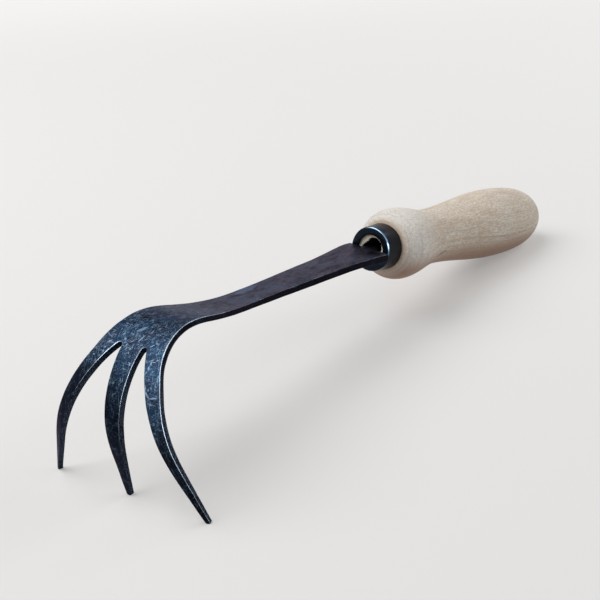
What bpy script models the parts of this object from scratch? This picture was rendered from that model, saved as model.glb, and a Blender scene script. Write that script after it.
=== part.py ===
"""Garden cultivator: a hand tool with three forged tines on a turned ash handle.

The tool is drawn in its own frame first. Its origin is the middle of the ferrule's front,
+X runs along the handle's axis to the far end, and +Z is up. The head is cut out flat as a
smith cuts the blank, given its thickness, and then bent along its length. Last, the whole
tool is laid on the floor, on the tips of its tines and on the handle's belly.
"""
import math

import bmesh
import bpy
from mathutils import Matrix, Vector

MM = 0.001
DEG = math.pi / 180.0

# Fits between the pieces
SEAT_GAP = 0.3 * MM
TANG_FIT = 0.3 * MM

# Ferrule
FERRULE_RADIUS = 10.4 * MM
FERRULE_LENGTH = 10.2 * MM
FERRULE_TAPER = 0.5 * MM
FERRULE_WALL = 1.2 * MM
FERRULE_FACE = 0.8 * MM
FERRULE_ROUND = 1.5 * MM
FERRULE_DISH = 0.3 * MM
MOUTH_RADIUS = 6.3 * MM
REAR_ROUND = 0.4 * MM

# Handle
HANDLE_LENGTH = 155.0 * MM
SHOULDER_SEAT = 9.4 * MM
SHOULDER_RADIUS = 16.2 * MM
SHOULDER_RUN = 10.4 * MM
WAIST_RADIUS = 13.0 * MM
WAIST_AT = 46.5 * MM
BELLY_RADIUS = 17.2 * MM
BELLY_AT = 108.0 * MM
END_FULLNESS = 2.85
SPIGOT_CHAMFER = 0.5 * MM

# Tang, inside the handle
TANG_LENGTH = 78.0 * MM
TANG_WIDTH = 7.4 * MM
TANG_TIP_WIDTH = 4.0 * MM
TANG_ROOT_RADIUS = 0.8 * MM

# Head, measured along the bent bar from the shoulders that butt on the ferrule
BAR_TOP = 0.4 * MM
SHOULDER_ROUND = 0.8 * MM
SLOT_ROOT = 147.0 * MM
SLOT_WIDTH = 2.6 * MM
SLOT_OFFSET = 5.8 * MM
PALM_EDGE = 14.3 * MM
TINE_START = 160.0 * MM
TINE_END = 205.6 * MM
OUTER_TIP_WIDTH = 1.9 * MM
OUTER_TIP_OFFSET = 36.15 * MM
MIDDLE_SWAY = -1.0 * MM
ARRIS = 0.35 * MM

# Half widths of the bar and palm: distance from the shoulders, half width
BAR_OUTLINE = (
    (0.0 * MM, 10.4 * MM),
    (24.0 * MM, 9.8 * MM),
    (45.0 * MM, 9.0 * MM),
    (62.0 * MM, 8.2 * MM),
    (76.0 * MM, 7.7 * MM),
    (86.0 * MM, 7.7 * MM),
    (104.0 * MM, 9.1 * MM),
    (120.0 * MM, 11.4 * MM),
    (136.0 * MM, 12.7 * MM),
)

# Half widths of the middle tine, which stays full and then narrows fast to its tip
MIDDLE_OUTLINE = (
    (162.0 * MM, 3.8 * MM),
    (178.0 * MM, 3.2 * MM),
    (192.0 * MM, 2.0 * MM),
    (TINE_END, 1.0 * MM),
)

# Thickness along the head: distance from the shoulders, thickness
PLATE_TAPER = (
    (0.0 * MM, 3.4 * MM),
    (24.0 * MM, 2.8 * MM),
    (60.0 * MM, 2.6 * MM),
    (110.0 * MM, 2.1 * MM),
    (165.0 * MM, 2.65 * MM),
    (TINE_END, 1.7 * MM),
)

# Bends of the head: start, end, turn. A positive turn lifts what lies beyond it.
BENDS = (
    (1.5 * MM, 9.0 * MM, -5.5 * DEG),
    (78.4 * MM, 127.2 * MM, 12.4 * DEG),
    (115.8 * MM, 158.4 * MM, -59.8 * DEG),
    (148.2 * MM, 192.0 * MM, -58.2 * DEG),
)

# The bar leaves the ferrule turned about its length, and straightens by the end of the twist
ROOT_TWIST = -6.5 * DEG
TWIST_START = 2.0 * MM
TWIST_END = 32.0 * MM

# Outer tines face outwards, since each is bent in its own direction: distance, turn
TINE_TURN = (
    (SLOT_ROOT, 0.0 * DEG),
    (158.0 * MM, 7.5 * DEG),
    (178.0 * MM, 13.0 * DEG),
    (192.0 * MM, 22.0 * DEG),
    (TINE_END, 25.0 * DEG),
)

# Fineness of the meshes
ROUND_STEPS = 56
CORNER_STEPS = 5
SLOT_STEPS = 8
CURVE_STEP = 3.4 * MM
SHOULDER_STEP = 11.0 * DEG
END_STEP = 5.0 * DEG
BEND_STEP = 2.9 * MM
STRAIGHT_STEP = 11.6 * MM
PATH_STEP = 0.25 * MM
TILT_HALVINGS = 60
MERGE = 0.01 * MM
CRISP_FROM = 32.0 * DEG


def clear_scene():
    """Remove whatever the file holds, so that the tool stands alone."""
    for old in list(bpy.data.objects):
        bpy.data.objects.remove(old, do_unlink=True)


def material(name, colour, roughness, metallic):
    """One Principled finish."""
    made = bpy.data.materials.new(name)
    made.use_nodes = True
    shader = made.node_tree.nodes["Principled BSDF"]
    shader.inputs["Base Color"].default_value = (*colour, 1.0)
    shader.inputs["Roughness"].default_value = roughness
    shader.inputs["Metallic"].default_value = metallic
    return made


def forged_steel():
    return material("forged_steel", (0.060, 0.075, 0.095), 0.45, 0.85)


def blued_steel():
    return material("blued_steel", (0.020, 0.026, 0.036), 0.28, 0.90)


def ash_wood():
    return material("ash_wood", (0.62, 0.51, 0.39), 0.55, 0.0)


def ease(share):
    """Rise from 0 to 1 with level ends."""
    held = min(max(share, 0.0), 1.0)
    return held * held * (3.0 - 2.0 * held)


def read_curve(points, at):
    """Value at one place on a smooth curve through the points, with no overshoot."""
    last = len(points) - 1
    if at <= points[0][0]:
        return points[0][1]
    if at >= points[last][0]:
        return points[last][1]
    steps = [points[i + 1][0] - points[i][0] for i in range(last)]
    rises = [(points[i + 1][1] - points[i][1]) / steps[i] for i in range(last)]

    def slope(i):
        if i == 0:
            return rises[0]
        if i == last:
            return rises[last - 1]
        before, after = rises[i - 1], rises[i]
        if before * after <= 0.0:
            return 0.0
        return 2.0 * before * after / (before + after)

    i = max(k for k in range(last) if points[k][0] <= at)
    t = (at - points[i][0]) / steps[i]
    start, end = points[i][1], points[i + 1][1]
    pull_start = slope(i) * steps[i]
    pull_end = slope(i + 1) * steps[i]
    return (start * (2 * t ** 3 - 3 * t ** 2 + 1) + pull_start * (t ** 3 - 2 * t ** 2 + t)
            + end * (3 * t ** 2 - 2 * t ** 3) + pull_end * (t ** 3 - t ** 2))


def arc(centre, radius, start, end, steps):
    """Points of a round corner, from one angle to another."""
    return [
        (centre[0] + radius * math.cos(start + (end - start) * k / steps),
         centre[1] + radius * math.sin(start + (end - start) * k / steps))
        for k in range(steps + 1)
    ]


def spread(start, end, step):
    """Evenly spaced places from start to end, both included."""
    count = max(1, round((end - start) / step))
    return [start + (end - start) * k / count for k in range(count + 1)]


# The round pieces

def spin_solid(name, profile, finish, closed):
    """Turn a profile of (distance along the axis, radius) points about the handle's axis."""
    bm = bmesh.new()
    corners = [bm.verts.new((along, 0.0, radius)) for along, radius in profile]
    edges = [bm.edges.new(pair) for pair in zip(corners, corners[1:])]
    if closed:
        edges.append(bm.edges.new((corners[-1], corners[0])))
    bmesh.ops.spin(bm, geom=corners + edges, cent=(0, 0, 0), axis=(1, 0, 0),
                   angle=2.0 * math.pi, steps=ROUND_STEPS, use_merge=True)
    bmesh.ops.remove_doubles(bm, verts=bm.verts, dist=MERGE)
    bmesh.ops.recalc_face_normals(bm, faces=bm.faces)
    return finish_piece(name, bm, finish)


def finish_piece(name, bm, finish):
    """Turn a worked mesh into a named piece that is shaded smooth between its edges."""
    mesh = bpy.data.meshes.new(name)
    bm.to_mesh(mesh)
    bm.free()
    mesh.materials.append(finish)
    mesh.shade_smooth()
    mesh.set_sharp_from_angle(angle=CRISP_FROM)
    piece = bpy.data.objects.new(name, mesh)
    bpy.context.scene.collection.objects.link(piece)
    return piece


def ferrule_profile():
    """Section of the cup: dished face with a mouth, rounded lip, wall and open rear."""
    front = FERRULE_RADIUS - FERRULE_TAPER
    inside = FERRULE_RADIUS - FERRULE_WALL
    lip = arc((FERRULE_ROUND, front - FERRULE_ROUND), FERRULE_ROUND,
              180 * DEG, 90 * DEG, CORNER_STEPS)
    rear = arc((FERRULE_LENGTH - REAR_ROUND, FERRULE_RADIUS - REAR_ROUND), REAR_ROUND,
               90 * DEG, 0.0, CORNER_STEPS)
    return [(FERRULE_DISH, MOUTH_RADIUS)] + lip + rear + [
        (FERRULE_LENGTH, inside),
        (FERRULE_DISH + FERRULE_FACE, inside),
        (FERRULE_DISH + FERRULE_FACE, MOUTH_RADIUS),
    ]


def build_ferrule():
    return spin_solid("ferrule", ferrule_profile(), blued_steel(), closed=True)


def tang_half_width(inward):
    """Half width of the tang at a distance behind the shoulders."""
    share = min(inward / TANG_LENGTH, 1.0)
    return (TANG_WIDTH + (TANG_TIP_WIDTH - TANG_WIDTH) * share) / 2.0


def hole_radius(inward):
    """Radius of the tapered hole that clears the tang's corners."""
    depth = PLATE_TAPER[0][1] - BAR_TOP
    return math.hypot(tang_half_width(inward), depth) + TANG_FIT


def wood_radius(along):
    """Radius of the grip from the shoulder to the belly."""
    shoulder_at = FERRULE_LENGTH + SEAT_GAP + SHOULDER_RUN
    if along < shoulder_at:
        lead = (shoulder_at - along) / SHOULDER_RUN
        return SHOULDER_SEAT + (SHOULDER_RADIUS - SHOULDER_SEAT) * math.sqrt(1.0 - lead ** 2)
    if along < WAIST_AT:
        fall = ease((along - shoulder_at) / (WAIST_AT - shoulder_at))
        return SHOULDER_RADIUS + (WAIST_RADIUS - SHOULDER_RADIUS) * fall
    swell = ease((along - WAIST_AT) / (BELLY_AT - WAIST_AT))
    return WAIST_RADIUS + (BELLY_RADIUS - WAIST_RADIUS) * swell


def grip_profile():
    """Outer line of the wood behind the ferrule, ending on the axis."""
    shoulder_at = FERRULE_LENGTH + SEAT_GAP + SHOULDER_RUN
    shoulder = []
    for turn in spread(0.0, 90 * DEG, SHOULDER_STEP):
        at = shoulder_at - SHOULDER_RUN * math.cos(turn)
        shoulder.append((at, wood_radius(at)))
    flanks = [(at, wood_radius(at)) for at in spread(shoulder_at, BELLY_AT, CURVE_STEP)]
    end_run = HANDLE_LENGTH - BELLY_AT
    end = []
    for turn in spread(0.0, 90 * DEG, END_STEP):
        share = math.sin(turn) ** (2.0 / END_FULLNESS)
        end.append((BELLY_AT + end_run * share,
                    BELLY_RADIUS * max(math.cos(turn), 0.0) ** (2.0 / END_FULLNESS)))
    end[-1] = (HANDLE_LENGTH, 0.0)
    return shoulder + flanks[1:] + end[1:]


def build_handle():
    """The turned grip with its spigot and the tapered hole for the tang."""
    face_at = FERRULE_DISH + FERRULE_FACE + SEAT_GAP
    spigot = FERRULE_RADIUS - FERRULE_WALL - SEAT_GAP
    hole_end = TANG_LENGTH + TANG_FIT
    profile = [
        (hole_end, 0.0),
        (hole_end, hole_radius(hole_end)),
        (face_at, hole_radius(face_at)),
        (face_at, spigot - SPIGOT_CHAMFER),
        (face_at + SPIGOT_CHAMFER, spigot),
        (FERRULE_LENGTH + SEAT_GAP, spigot),
    ]
    return spin_solid("handle", profile + grip_profile(), ash_wood(), closed=False)


# The bent path of the head

def heading(along):
    """Slope of the bar's top face, in radians above the handle's axis."""
    return sum(turn * ease((along - start) / (end - start)) for start, end, turn in BENDS)


def walk_path():
    """Places of the bar's top face, one every small step from the shoulders on."""
    count = math.ceil(TINE_END / PATH_STEP) + 1
    place = Vector((-SEAT_GAP, BAR_TOP))
    places = [place.copy()]
    for k in range(count):
        slope = heading((k + 0.5) * PATH_STEP)
        place += Vector((-math.cos(slope), math.sin(slope))) * PATH_STEP
        places.append(place.copy())
    return places


def path_place(places, along):
    """Place on the top face at a distance from the shoulders; the tang runs straight back."""
    if along <= 0.0:
        return places[0] - Vector((along, 0.0))
    k = min(int(along / PATH_STEP), len(places) - 2)
    return places[k].lerp(places[k + 1], along / PATH_STEP - k)


def square_to_path(along):
    """Unit vector that points out of the top face."""
    slope = heading(max(along, 0.0))
    return Vector((math.sin(slope), math.cos(slope)))


def tine_share(along):
    """How much of the tines' length lies before a place: 0 at the slots' root, 1 at the end."""
    return (along - SLOT_ROOT) / (TINE_END - SLOT_ROOT)


def turned(across, depth, pivot, turn):
    """A point of the section, turned about a pivot; a positive turn faces the section to +Y."""
    off, rise = across - pivot[0], depth - pivot[1]
    return (pivot[0] + off * math.cos(turn) + rise * math.sin(turn),
            pivot[1] - off * math.sin(turn) + rise * math.cos(turn))


def worked_section(along, across, depth):
    """Where hand work puts a point of the section: twist at the root, turn of the tines."""
    twist = ROOT_TWIST * (1.0 - ease((along - TWIST_START) / (TWIST_END - TWIST_START)))
    across, depth = turned(across, depth, (0.0, -BAR_TOP), twist)
    if along <= SLOT_ROOT:
        return across, depth
    if abs(across) < SLOT_OFFSET:
        return across + MIDDLE_SWAY * math.sin(math.pi * tine_share(along)), depth
    side = math.copysign(1.0, across)
    strip = (PALM_EDGE + SLOT_OFFSET + SLOT_WIDTH / 2.0) / 2.0
    centre = strip + (OUTER_TIP_OFFSET - strip) * tine_share(along)
    pivot = (side * centre, -read_curve(PLATE_TAPER, along) / 2.0)
    return turned(across, depth, pivot, side * read_curve(TINE_TURN, along))


# The flat blank

def tip_edge():
    """Outer corner of the outer tine's tip, from the middle line."""
    return OUTER_TIP_OFFSET + OUTER_TIP_WIDTH / 2.0


def tine_edge(along):
    """The straight outer edge of an outer tine."""
    return PALM_EDGE + (tip_edge() - PALM_EDGE) * tine_share(along)


def outer_edge(along):
    """Half width of the blank: the bar's curve, then the outer tine's edge."""
    joins = (SLOT_ROOT + SLOT_WIDTH, TINE_START, TINE_END)
    return read_curve(BAR_OUTLINE + tuple((at, tine_edge(at)) for at in joins), along)


def tangent_angle(centre, radius, point, side):
    """Angle on a circle where the line from an outside point touches it."""
    dx, dy = point[0] - centre[0], point[1] - centre[1]
    return math.atan2(dy, dx) + side * math.acos(radius / math.hypot(dx, dy))


def slot_line():
    """Edge of one slot: in along the outer tine, round the root, out on the middle one."""
    radius = SLOT_WIDTH / 2.0
    centre = (SLOT_ROOT + radius, SLOT_OFFSET)
    outer_tip = (TINE_END, OUTER_TIP_OFFSET - OUTER_TIP_WIDTH / 2.0)
    start = tangent_angle(centre, radius, outer_tip, 1)
    end = tangent_angle(centre, radius, MIDDLE_OUTLINE[0], -1) + 2.0 * math.pi
    middle = [(at, read_curve(MIDDLE_OUTLINE, at))
              for at in spread(MIDDLE_OUTLINE[0][0], TINE_END, CURVE_STEP)]
    return [outer_tip] + arc(centre, radius, start, end, SLOT_STEPS) + middle


def half_outline():
    """Outline on one side, from the tang's tip to the middle tine's tip."""
    root = TANG_ROOT_RADIUS
    tang_root = tang_half_width(0.0)
    tang = [(-TANG_LENGTH, tang_half_width(TANG_LENGTH))]
    fillet = arc((-root, tang_root + root), root, -90 * DEG, 0.0, CORNER_STEPS)
    corner = arc((SHOULDER_ROUND, outer_edge(0.0) - SHOULDER_ROUND), SHOULDER_ROUND,
                 180 * DEG, 90 * DEG, CORNER_STEPS)
    edge = [(at, outer_edge(at)) for at in stations() if at > SHOULDER_ROUND]
    return tang + fillet + corner + edge + slot_line()


def stations():
    """Where the blank is cut across, close together wherever it curves."""
    neck_start, neck_end = BENDS[0][:2]
    lift_start = BENDS[1][0]
    return (spread(neck_start, neck_end, BEND_STEP)
            + spread(neck_end, TWIST_END, BEND_STEP)[1:]
            + spread(TWIST_END, lift_start, STRAIGHT_STEP)[1:]
            + spread(lift_start, TINE_END, BEND_STEP)[1:])


def flat_blank():
    """Cut the blank out of plate and give it its depth."""
    plate = PLATE_TAPER[0][1]
    half = half_outline()
    whole = half + [(along, -across) for along, across in reversed(half)]
    bm = bmesh.new()
    bm.faces.new([bm.verts.new((-along, across, 0.0)) for along, across in whole])
    for at in stations():
        bmesh.ops.bisect_plane(bm, geom=bm.verts[:] + bm.edges[:] + bm.faces[:],
                               dist=MERGE, plane_co=(-at, 0, 0), plane_no=(1, 0, 0))
    uneven = [face for face in bm.faces if len(face.verts) > 4]
    bmesh.ops.triangulate(bm, faces=uneven)
    depth = bmesh.ops.extrude_face_region(bm, geom=bm.faces[:])
    lower = [part for part in depth["geom"] if isinstance(part, bmesh.types.BMVert)]
    bmesh.ops.translate(bm, verts=lower, vec=(0, 0, -plate))
    bmesh.ops.recalc_face_normals(bm, faces=bm.faces)
    bm.normal_update()
    soften_rims(bm)
    return bm


def soften_rims(bm):
    """Take the sharp arris off the long edges, but leave the tines' ends square."""
    rims = []
    for edge in bm.edges:
        flat = [abs(face.normal.z) > 0.5 for face in edge.link_faces]
        at_tip = all(-vert.co.x > TINE_END - SEAT_GAP for vert in edge.verts)
        if flat.count(True) == 1 and not at_tip:
            rims.append(edge)
    bmesh.ops.bevel(bm, geom=rims, offset=ARRIS, affect="EDGES", segments=2, profile=0.5,
                    material=-1, clamp_overlap=True)


def bend_blank(bm):
    """Thin the blank to its taper, work each section by hand and bend it along the path."""
    places = walk_path()
    plate = PLATE_TAPER[0][1]
    for vert in bm.verts:
        along = -vert.co.x
        thinned = vert.co.z * read_curve(PLATE_TAPER, along) / plate
        across, depth = worked_section(along, vert.co.y, thinned)
        place = path_place(places, along) + square_to_path(along) * depth
        vert.co = (place.x, across, place.y)


def height(point, tilt):
    """Height of a point in the tool's own frame once the tool is tilted, from its origin."""
    return point.z * math.cos(tilt) - point.x * math.sin(tilt)


def rest_tilt(tip):
    """Tilt that brings the tines' tips and the handle's belly to one level."""
    low, high = 0.0, 45 * DEG
    grip = [Vector((along, 0.0, -radius)) for along, radius in grip_profile()]
    for _ in range(TILT_HALVINGS):
        tilt = (low + high) / 2.0
        if min(height(point, tilt) for point in grip) < height(tip, tilt):
            high = tilt
        else:
            low = tilt
    return tilt, min(height(point, tilt) for point in grip)


def dress_tips(bm, tilt, floor):
    """Run the tines' ends down to the floor, so that they stand flat on it."""
    slope = heading(TINE_END)
    along = Vector((-math.cos(slope), 0.0, math.sin(slope)))
    drop = height(along, tilt)
    ends = [face for face in bm.faces if face.normal.dot(along) > 0.99
            and height(face.calc_center_median(), tilt) < floor + BEND_STEP]
    for vert in {vert for face in ends for vert in face.verts}:
        vert.co += along * ((floor - height(vert.co, tilt)) / drop)


def tip_middle():
    """Middle of the tine's end, halfway through its thickness."""
    top = path_place(walk_path(), TINE_END)
    place = top - square_to_path(TINE_END) * read_curve(PLATE_TAPER, TINE_END) / 2.0
    return Vector((place.x, 0.0, place.y))


def build_head(tilt, floor):
    bm = flat_blank()
    bend_blank(bm)
    bm.normal_update()
    dress_tips(bm, tilt, floor)
    return finish_piece("forged_head", bm, forged_steel())


def lay_down(pieces, tilt):
    """Hang the pieces on one axis, tilt it, and centre the tool over the origin."""
    axis = bpy.data.objects.new("tool_axis", None)
    bpy.context.scene.collection.objects.link(axis)
    turn = Matrix.Rotation(tilt, 4, "Y")
    corners = []
    for piece in pieces:
        piece.parent = axis
        corners += [turn @ vert.co for vert in piece.data.vertices]
    lowest = min(corner.z for corner in corners)
    ends = [corner.x for corner in corners]
    axis.rotation_euler = (0.0, tilt, 0.0)
    axis.location = (-(min(ends) + max(ends)) / 2.0, 0.0, -lowest)


def main():
    clear_scene()
    tilt, floor = rest_tilt(tip_middle())
    head = build_head(tilt, floor)
    lay_down([head, build_ferrule(), build_handle()], tilt)


main()
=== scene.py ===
# %% [markdown]
# # A garden cultivator in three pieces
#
# The tool is a forged steel head, a blued ferrule and a turned ash handle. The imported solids
# give every piece its place, and this lesson gives each one the surface of the real thing.
# Nothing on the tool moves, so all the pieces ride on one body.

import math

import bmesh
import bpy
from mathutils import Matrix, Vector, noise


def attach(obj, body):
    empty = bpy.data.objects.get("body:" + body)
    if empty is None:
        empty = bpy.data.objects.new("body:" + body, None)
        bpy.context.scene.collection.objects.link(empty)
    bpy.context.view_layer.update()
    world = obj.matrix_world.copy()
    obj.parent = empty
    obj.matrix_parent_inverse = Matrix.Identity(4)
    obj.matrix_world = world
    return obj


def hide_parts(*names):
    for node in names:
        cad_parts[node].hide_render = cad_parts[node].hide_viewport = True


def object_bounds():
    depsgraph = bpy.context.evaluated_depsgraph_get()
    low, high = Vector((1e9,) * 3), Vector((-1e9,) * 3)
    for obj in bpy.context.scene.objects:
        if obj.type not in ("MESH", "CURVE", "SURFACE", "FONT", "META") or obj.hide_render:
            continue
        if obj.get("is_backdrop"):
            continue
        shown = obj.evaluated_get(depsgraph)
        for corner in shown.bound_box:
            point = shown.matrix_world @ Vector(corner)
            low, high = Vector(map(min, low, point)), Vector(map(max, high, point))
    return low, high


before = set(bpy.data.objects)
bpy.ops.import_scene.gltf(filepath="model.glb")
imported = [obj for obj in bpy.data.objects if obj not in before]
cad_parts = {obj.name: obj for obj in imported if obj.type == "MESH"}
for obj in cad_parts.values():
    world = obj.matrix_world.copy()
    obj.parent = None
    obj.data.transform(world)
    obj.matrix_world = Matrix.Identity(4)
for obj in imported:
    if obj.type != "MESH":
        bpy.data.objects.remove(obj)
cad_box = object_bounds()
print("solids:", ", ".join(sorted(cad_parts)))

# %% [markdown]
# ## Sizes
#
# A maker works from a short list of sizes. These are the same ones as in the solids, because
# the piece that shows has to stand exactly where the solid stands. The tool's own frame has
# its origin at the middle of the ferrule's front, and +X runs along the handle.

# %% Sizes of the tool
MM = 0.001
DEG = math.pi / 180.0


def in_mm(*rows):
    """Rows of lengths that are given in mm."""
    return tuple(tuple(value * MM for value in row) for row in rows)


SEAT_GAP = 0.3 * MM
TANG_FIT = 0.3 * MM

FERRULE_RADIUS = 10.4 * MM
FERRULE_LENGTH = 10.2 * MM
FERRULE_TAPER = 0.5 * MM
FERRULE_WALL = 1.2 * MM
FERRULE_FACE = 0.8 * MM
LIP_ROUND = 1.1 * MM
FERRULE_DISH = 0.3 * MM
MOUTH_RADIUS = 6.3 * MM
REAR_ROUND = 0.4 * MM

HANDLE_LENGTH = 155.0 * MM
SHOULDER_SEAT = 9.4 * MM
SHOULDER_RADIUS = 16.2 * MM
SHOULDER_RUN = 10.4 * MM
WAIST_RADIUS = 13.0 * MM
WAIST_AT = 46.5 * MM
BELLY_RADIUS = 17.2 * MM
BELLY_AT = 108.0 * MM
END_FULLNESS = 2.85

TANG_LENGTH = 78.0 * MM
TANG_WIDTH = 7.4 * MM
TANG_TIP_WIDTH = 4.0 * MM

BAR_TOP = 0.4 * MM
SHOULDER_ROUND = 0.8 * MM
SLOT_ROOT = 147.0 * MM
SLOT_WIDTH = 2.6 * MM
SLOT_OFFSET = 5.8 * MM
PALM_EDGE = 14.3 * MM
TINE_START = 160.0 * MM
TINE_END = 205.6 * MM
OUTER_TIP_WIDTH = 1.9 * MM
OUTER_TIP_OFFSET = 36.15 * MM
MIDDLE_SWAY = -1.0 * MM

# Half widths and thickness at distances along the flat blank
BAR_OUTLINE = in_mm(
    (0.0, 10.4), (24.0, 9.8), (45.0, 9.0), (62.0, 8.2), (76.0, 7.7), (86.0, 7.7),
    (104.0, 9.1), (120.0, 11.4), (136.0, 12.7),
)
MIDDLE_OUTLINE = in_mm((162.0, 3.8), (178.0, 3.2), (192.0, 2.0), (TINE_END / MM, 1.0))
PLATE_TAPER = in_mm(
    (0.0, 3.4), (24.0, 2.8), (60.0, 2.6), (110.0, 2.1), (165.0, 2.65), (TINE_END / MM, 1.7),
)

# Each bend of the head: where it starts and ends, and how far it turns
BENDS = (
    (1.5 * MM, 9.0 * MM, -5.5 * DEG),
    (78.4 * MM, 127.2 * MM, 12.4 * DEG),
    (115.8 * MM, 158.4 * MM, -59.8 * DEG),
    (148.2 * MM, 192.0 * MM, -58.2 * DEG),
)
ROOT_TWIST = -6.5 * DEG
TWIST_START = 2.0 * MM
TWIST_END = 32.0 * MM
TINE_TURN = (
    (SLOT_ROOT, 0.0 * DEG), (158.0 * MM, 7.5 * DEG), (178.0 * MM, 13.0 * DEG),
    (192.0 * MM, 22.0 * DEG), (TINE_END, 25.0 * DEG),
)

# The solids lie with the ferrule's front here, and with the handle's end tipped down
FERRULE_FRONT = Vector((4.292, 0.0, 40.1796)) * MM
REST_TILT = 10.47561 * DEG
LAID_DOWN = Matrix.Translation(FERRULE_FRONT) @ Matrix.Rotation(REST_TILT, 4, "Y")
print("tool laid down at", round(REST_TILT / DEG, 2), "degrees")

# %% [markdown]
# ## Curves that every piece uses
#
# Hand-made outlines are smooth curves through a few known places. `read_curve` is such a
# curve, and it never swings past the places it joins. `ease` makes one change melt into the
# next, as a bend in hot steel does.

# %% Curve helpers


def ease(share):
    """Rise from 0 to 1 with level ends."""
    held = min(max(share, 0.0), 1.0)
    return held * held * (3.0 - 2.0 * held)


def read_curve(points, at):
    """Value at one place on a smooth curve through the points, with no overshoot."""
    last = len(points) - 1
    if at <= points[0][0]:
        return points[0][1]
    if at >= points[last][0]:
        return points[last][1]
    steps = [points[i + 1][0] - points[i][0] for i in range(last)]
    rises = [(points[i + 1][1] - points[i][1]) / steps[i] for i in range(last)]

    def slope(i):
        if i == 0:
            return rises[0]
        if i == last:
            return rises[last - 1]
        before, after = rises[i - 1], rises[i]
        if before * after <= 0.0:
            return 0.0
        return 2.0 * before * after / (before + after)

    i = max(k for k in range(last) if points[k][0] <= at)
    t = (at - points[i][0]) / steps[i]
    start, end = points[i][1], points[i + 1][1]
    pull_start = slope(i) * steps[i]
    pull_end = slope(i + 1) * steps[i]
    return (start * (2 * t ** 3 - 3 * t ** 2 + 1) + pull_start * (t ** 3 - 2 * t ** 2 + t)
            + end * (3 * t ** 2 - 2 * t ** 3) + pull_end * (t ** 3 - t ** 2))


def arc(centre, radius, start, end, steps):
    """Points of a round corner, from one angle to another."""
    return [
        (centre[0] + radius * math.cos(start + (end - start) * k / steps),
         centre[1] + radius * math.sin(start + (end - start) * k / steps))
        for k in range(steps + 1)
    ]


def spread(start, end, step):
    """Evenly spaced places from start to end, both included."""
    count = max(1, round((end - start) / step))
    return [start + (end - start) * k / count for k in range(count + 1)]


print("half width of the bar at its waist:",
      round(read_curve(BAR_OUTLINE, 78 * MM) / MM, 2), "mm")

# %% [markdown]
# ## The head: cut it out flat
#
# A smith doesn't carve this shape. A flat blank is cut with its two slots, the edges are
# dressed, and only then is it bent. Doing the same here keeps the thickness true all the way
# round the bends, and leaves flat measurements for wear and scratches to follow.

# %% Outline of the blank
ARRIS = 0.7 * MM
TIP_ROUND = 0.7 * MM
TANG_FILLET = 0.8 * MM
EDGE_START = 2.0 * MM
EDGE_STEP = 1.6 * MM

# Distances between the cuts that let the plate bend: along it, across it and through it
CUT_START = 1.2 * MM
CUT_STEP = 0.8 * MM
ACROSS_CUTS = [k * 2.7 * MM for k in range(-4, 5)]
DEPTH_CUTS = [-1.1 * MM, -2.3 * MM]


def tang_half_width(inward):
    """Half width of the tang at a distance behind the shoulders."""
    share = min(inward / TANG_LENGTH, 1.0)
    return (TANG_WIDTH + (TANG_TIP_WIDTH - TANG_WIDTH) * share) / 2.0


def tine_share(along):
    """0 at the slots' root and 1 at the tines' ends."""
    return (along - SLOT_ROOT) / (TINE_END - SLOT_ROOT)


def tine_edge(along):
    """The straight outer edge of an outer tine."""
    tip_edge = OUTER_TIP_OFFSET + OUTER_TIP_WIDTH / 2.0
    return PALM_EDGE + (tip_edge - PALM_EDGE) * tine_share(along)


EDGE_LINE = BAR_OUTLINE + tuple(
    (at, tine_edge(at)) for at in (SLOT_ROOT + SLOT_WIDTH, TINE_START, TINE_END)
)


def touch_angle(centre, radius, point, side):
    """Angle on a circle where the line from an outside point touches it."""
    dx, dy = point[0] - centre[0], point[1] - centre[1]
    return math.atan2(dy, dx) + side * math.acos(radius / math.hypot(dx, dy))


def tip_corner(across, start, end):
    """Rounded corner of a tine's end, from one angle to another."""
    return arc((TINE_END - TIP_ROUND, across), TIP_ROUND, start, end, 5)


def half_outline():
    """Outline on one side, from the tang's tip to the middle tine's tip."""
    tang_root = tang_half_width(0.0)
    tang = [(-TANG_LENGTH, tang_half_width(TANG_LENGTH))]
    fillet = arc((-TANG_FILLET, tang_root + TANG_FILLET), TANG_FILLET, -90 * DEG, 0.0, 6)
    corner = arc((SHOULDER_ROUND, EDGE_LINE[0][1] - SHOULDER_ROUND), SHOULDER_ROUND,
                 180 * DEG, 90 * DEG, 8)
    edge = [(at, read_curve(EDGE_LINE, at))
            for at in spread(EDGE_START, TINE_END - TIP_ROUND, EDGE_STEP)]
    radius = SLOT_WIDTH / 2.0
    centre = (SLOT_ROOT + radius, SLOT_OFFSET)
    outer_tip = (TINE_END, OUTER_TIP_OFFSET - OUTER_TIP_WIDTH / 2.0)
    start = touch_angle(centre, radius, outer_tip, 1)
    end = touch_angle(centre, radius, MIDDLE_OUTLINE[0], -1) + 2.0 * math.pi
    middle = [(at, read_curve(MIDDLE_OUTLINE, at))
              for at in spread(MIDDLE_OUTLINE[0][0], TINE_END - TIP_ROUND, EDGE_STEP)]
    return (tang + fillet + corner + edge
            + tip_corner(outer_tip[1] + OUTER_TIP_WIDTH - TIP_ROUND, 70 * DEG, 0.0)
            + tip_corner(outer_tip[1] + TIP_ROUND, 0.0, -70 * DEG)
            + arc(centre, radius, start, end, 16) + middle
            + tip_corner(MIDDLE_OUTLINE[-1][1] - TIP_ROUND, 80 * DEG, 0.0))


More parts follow.
